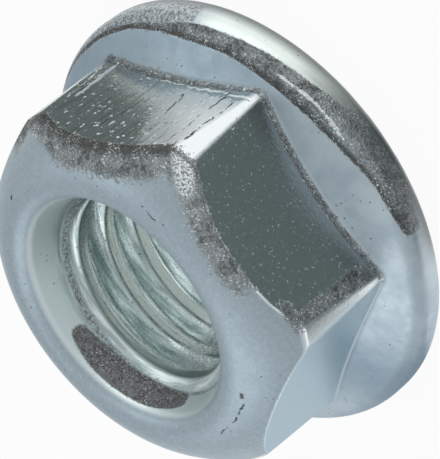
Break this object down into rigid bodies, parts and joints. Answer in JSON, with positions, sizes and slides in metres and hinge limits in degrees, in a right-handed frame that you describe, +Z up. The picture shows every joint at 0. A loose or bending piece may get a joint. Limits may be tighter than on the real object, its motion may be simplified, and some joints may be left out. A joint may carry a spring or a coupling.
{
  "type": "serrated flange nut",
  "caption": "Zinc-plated steel hexagon nut with an integral serrated flange, a 3/8-16 thread and a rounded, countersunk front.",
  "frame": {"origin": "centre of the bearing face, level with the tips of the serrations, on the thread axis", "axes": "+Z up the thread axis from the flange to the hexagon end, +X through a corner of the hexagon"},
  "size_m": [0.0188, 0.0186, 0.0086],
  "materials": {
    "zinc_plated_steel": "bright zinc plating with a faint blue tint over cold-formed steel"
  },
  "bodies": {
    "root": {"flange_nut": "zinc_plated_steel"}
  },
  "joints": []
}
